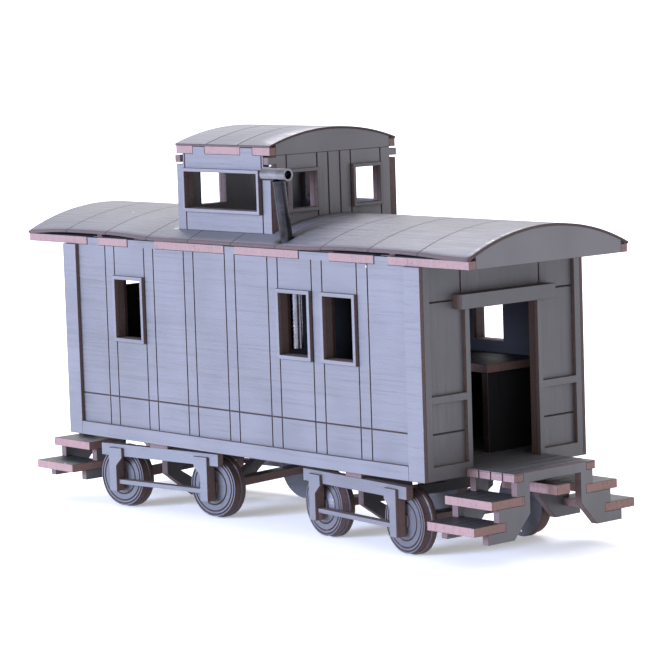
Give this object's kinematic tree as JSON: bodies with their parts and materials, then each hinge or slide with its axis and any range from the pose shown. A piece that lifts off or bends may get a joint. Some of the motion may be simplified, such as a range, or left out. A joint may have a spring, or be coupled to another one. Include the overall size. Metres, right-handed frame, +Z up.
{
  "type": "model railway caboose",
  "caption": "Laser-cut sheet model of a railway caboose with a cupola on a lift-off arched roof, end platforms with steps, and swivelling trucks on spinning wheelsets.",
  "frame": {"origin": "on the rail plane under the middle of the bounding box", "axes": "+X along the car towards the end seen in the picture, +Y to the side away from the stove pipe, +Z up"},
  "size_m": [0.1728, 0.054, 0.0997],
  "materials": {
    "painted_board": "slate grey paint on laser-cut fibreboard, matt, with burnt brown edges",
    "bare_board": "bare laser-cut fibreboard with brown edges",
    "dark_steel": "dark bare metal tube and rod"
  },
  "bodies": {
    "car": {"floor_sheet": "painted_board", "side_wall_left": "painted_board", "side_wall_right": "painted_board", "side_lining_left": "painted_board", "side_lining_right": "painted_board", "end_wall_front": "painted_board", "end_wall_rear": "painted_board", "corner_posts": "painted_board", "sill_strips": "painted_board", "window_frames_left": "painted_board", "window_frames_right": "painted_board", "end_trim_front": "painted_board", "end_trim_rear": "painted_board", "door_hoods": "painted_board", "rear_door": "painted_board", "step_plate_front": "painted_board", "step_plate_rear": "painted_board", "inner_step_plates": "painted_board", "upper_treads": "painted_board", "lower_treads": "painted_board", "couplers": "bare_board", "coupler_pads": "bare_board", "bunk_board": "painted_board", "bunk_legs": "painted_board", "kingpins": "dark_steel", "kingpin_nuts": "dark_steel"},
    "roof": {"roof_plate": "painted_board", "roof_formers": "painted_board", "roof_ribs": "painted_board", "roof_skin": "painted_board", "cupola_side_left": "painted_board", "cupola_side_right": "painted_board", "cupola_end_front": "painted_board", "cupola_end_rear": "painted_board", "cupola_frames_side": "painted_board", "cupola_frames_end": "painted_board", "cupola_plate": "painted_board", "cupola_formers": "painted_board", "cupola_skin": "painted_board", "stove_pipe": "dark_steel", "stove_pipe_cap": "dark_steel", "stove_pipe_lower": "dark_steel"},
    "front_truck": {"front_truck_frames": "painted_board", "front_truck_pedestals": "painted_board", "front_truck_bolster": "bare_board", "front_truck_truss": "painted_board"},
    "rear_truck": {"rear_truck_frames": "painted_board", "rear_truck_pedestals": "painted_board", "rear_truck_bolster": "bare_board", "rear_truck_truss": "painted_board"},
    "front_outer_wheelset": {"front_outer_wheels": "painted_board", "front_outer_axle": "bare_board"},
    "front_inner_wheelset": {"front_inner_wheels": "painted_board", "front_inner_axle": "bare_board"},
    "rear_inner_wheelset": {"rear_inner_wheels": "painted_board", "rear_inner_axle": "bare_board"},
    "rear_outer_wheelset": {"rear_outer_wheels": "painted_board", "rear_outer_axle": "bare_board"}
  },
  "joints": [
    {"name": "roof_lift", "type": "slide", "parent": "car", "child": "roof", "axis": [0, 0, 1], "range_m": [0, 0.06]},
    {"name": "front_truck_swivel", "type": "hinge", "parent": "car", "child": "front_truck", "pos_m": [0.04, 0, 0.0182], "axis": [0, 0, 1], "range_deg": [-3, 15]},
    {"name": "rear_truck_swivel", "type": "hinge", "parent": "car", "child": "rear_truck", "pos_m": [-0.04, 0, 0.0182], "axis": [0, 0, 1], "range_deg": [-16, 2]},
    {"name": "front_outer_wheel_spin", "type": "hinge", "parent": "front_truck", "child": "front_outer_wheelset", "pos_m": [0.05631, -0.00171, 0.00825], "axis": [0.1045, 0.9945, 0], "continuous": true},
    {"name": "front_inner_wheel_spin", "type": "hinge", "parent": "front_truck", "child": "front_inner_wheelset", "pos_m": [0.02369, 0.00171, 0.00825], "axis": [0.1045, 0.9945, 0], "continuous": true},
    {"name": "rear_inner_wheel_spin", "type": "hinge", "parent": "rear_truck", "child": "rear_inner_wheelset", "pos_m": [-0.02372, 0.002, 0.00825], "axis": [-0.1219, 0.9925, 0], "continuous": true},
    {"name": "rear_outer_wheel_spin", "type": "hinge", "parent": "rear_truck", "child": "rear_outer_wheelset", "pos_m": [-0.05628, -0.002, 0.00825], "axis": [-0.1219, 0.9925, 0], "continuous": true}
  ]
}
